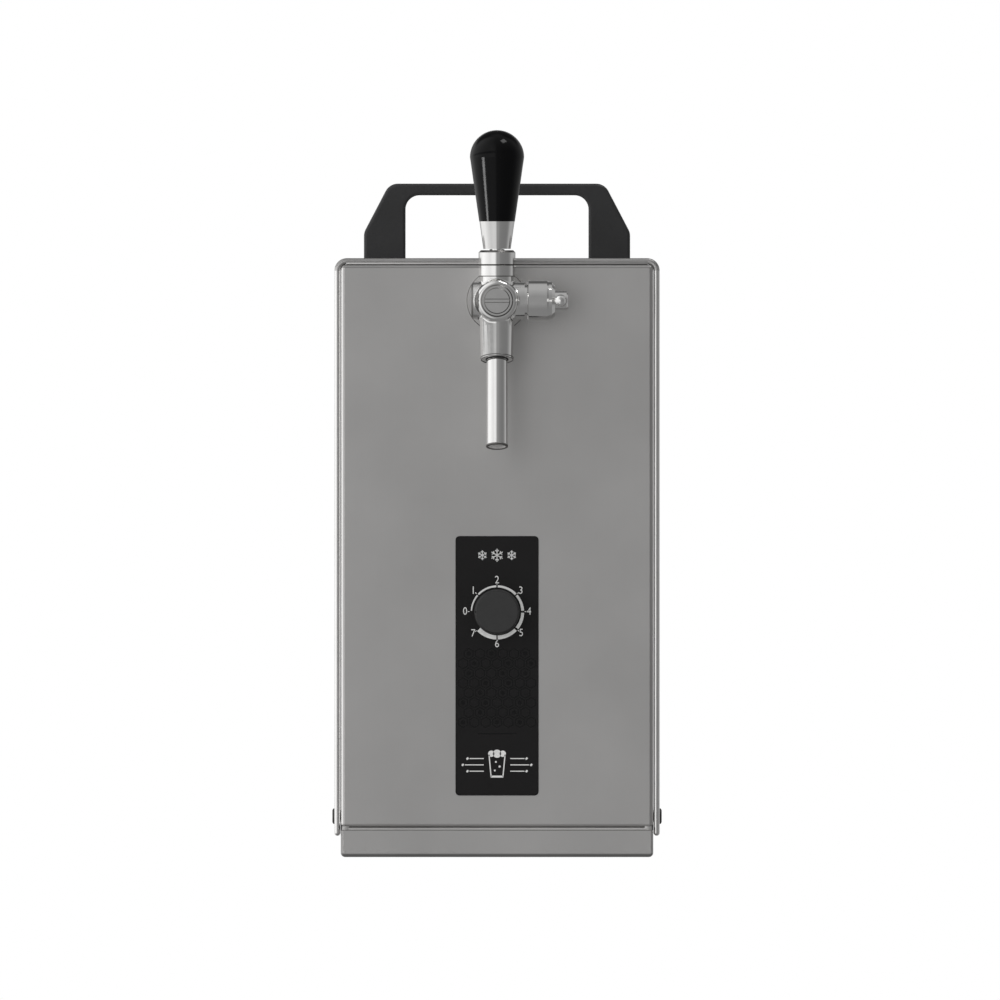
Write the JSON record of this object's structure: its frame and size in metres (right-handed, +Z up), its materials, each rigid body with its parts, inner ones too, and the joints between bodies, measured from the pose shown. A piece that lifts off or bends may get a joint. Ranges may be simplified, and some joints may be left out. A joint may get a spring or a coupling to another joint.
{
  "type": "beer cooler with tap",
  "caption": "Narrow stainless counter-top beer cooler with a chrome compensator tap, thermostat dial and carrying handle.",
  "frame": {"origin": "on the table plane at the centre of the casing's footprint, where the tray's flat floor rests", "axes": "+Z up, the tap and dial face -Y, +X is to the right as the drinker sees it"},
  "size_m": [0.1772, 0.3625, 0.3911],
  "materials": {
    "satin_steel": "satin stainless sheet, fine grain",
    "chrome": "polished chrome plate",
    "dark_screw": "black oxide",
    "zinc_steel": "zinc plated, dull",
    "handle_black": "black, satin gloss",
    "knob_black": "black, high gloss",
    "dial_grey": "dark grey, matte",
    "label_film": "black printed film",
    "switch_black": "black moulded plastic",
    "copper": "drawn copper",
    "compressor_black": "black enamel",
    "rubber_black": "matte",
    "aluminium": "mill finish",
    "foam_white": "closed-cell insulation foam",
    "hose_clear": "flexible hose",
    "fitting_grey": "dark grey acetal",
    "fitting_blue": "blue acetal"
  },
  "bodies": {
    "casing": {"air_hose": "hose_clear", "air_pump": "compressor_black", "base_tray": "satin_steel", "beer_coil": "satin_steel", "capillary_tube": "copper", "carry_handle": "handle_black", "cold_block": "aluminium", "collar_nut": "chrome", "compensator_housing": "chrome", "compressor": "compressor_black", "compressor_bolts": "zinc_steel", "compressor_grommets": "rubber_black", "condenser_coil": "copper", "condenser_fins": "aluminium", "control_label": "label_film", "cover": "satin_steel", "cover_screws": "dark_screw", "discharge_pipe": "copper", "evaporator_coil": "copper", "fan_frame": "switch_black", "filter_drier": "copper", "foam_case": "foam_white", "frame_screws": "zinc_steel", "front_panel": "satin_steel", "front_plug": "chrome", "handle_bolts": "zinc_steel", "lever_pin": "zinc_steel", "lifting_frame": "zinc_steel", "lock_collar": "chrome", "panel_screws": "zinc_steel", "port_fittings": "fitting_grey", "power_inlet": "switch_black", "pump_bracket": "zinc_steel", "rear_panel": "satin_steel", "rear_screws": "zinc_steel", "sensing_tube": "copper", "shank_nut": "zinc_steel", "spout_tube": "chrome", "suction_pipe": "copper", "switch_bodies": "switch_black", "tap_body": "chrome", "tap_rosette": "chrome", "tap_shank": "chrome", "thermostat_body": "switch_black", "thermostat_nut": "zinc_steel"},
    "tap_lever_arm": {"handle_ferrule": "chrome", "tap_knob": "knob_black", "tap_lever": "chrome"},
    "tap_valve": {"valve_seal": "rubber_black", "valve_shaft": "chrome"},
    "flow_compensator": {"compensator_lever": "chrome", "compensator_spindle": "chrome", "flow_cone": "fitting_grey"},
    "thermostat_dial": {"thermostat_knob": "dial_grey", "thermostat_spindle": "zinc_steel"},
    "fan_wheel": {"fan_rotor": "switch_black"},
    "main_switch": {"main_switch_rocker": "switch_black"},
    "pump_switch": {"pump_switch_rocker": "switch_black"},
    "inlet_release": {"beer_inlet_collet": "fitting_blue"},
    "outlet_release": {"air_outlet_collet": "fitting_blue"}
  },
  "joints": [
    {"name": "lever_tilt", "type": "hinge", "parent": "casing", "child": "tap_lever_arm", "pos_m": [0, -0.177, 0.3238], "axis": [1, 0, 0], "range_deg": [0, 13]},
    {"name": "valve_stroke", "type": "slide", "parent": "casing", "child": "tap_valve", "axis": [0, 1, 0], "range_m": [0, 0.0056]},
    {"name": "compensator_turn", "type": "hinge", "parent": "casing", "child": "flow_compensator", "pos_m": [0.0343, -0.177, 0.2993], "axis": [1, 0, 0], "range_deg": [-90, 90]},
    {"name": "dial_turn", "type": "hinge", "parent": "casing", "child": "thermostat_dial", "pos_m": [0, -0.15, 0.1318], "axis": [0, 1, 0], "range_deg": [0, 315]},
    {"name": "fan_spin", "type": "hinge", "parent": "casing", "child": "fan_wheel", "pos_m": [0, 0.132, 0.092], "axis": [0, 1, 0], "continuous": true},
    {"name": "main_switch_rock", "type": "hinge", "parent": "casing", "child": "main_switch", "pos_m": [-0.012, 0.1444, 0.288], "axis": [1, 0, 0], "range_deg": [0, 14]},
    {"name": "pump_switch_rock", "type": "hinge", "parent": "casing", "child": "pump_switch", "pos_m": [0.012, 0.1444, 0.288], "axis": [1, 0, 0], "range_deg": [0, 14]},
    {"name": "inlet_collet_push", "type": "slide", "parent": "casing", "child": "inlet_release", "axis": [0, -1, 0], "range_m": [0, 0.0018]},
    {"name": "outlet_collet_push", "type": "slide", "parent": "casing", "child": "outlet_release", "axis": [0, -1, 0], "range_m": [0, 0.0018]}
  ],
  "couplings": [
    {"joint": "valve_stroke", "follows": "lever_tilt", "m_per_rad": 0.0245}
  ]
}
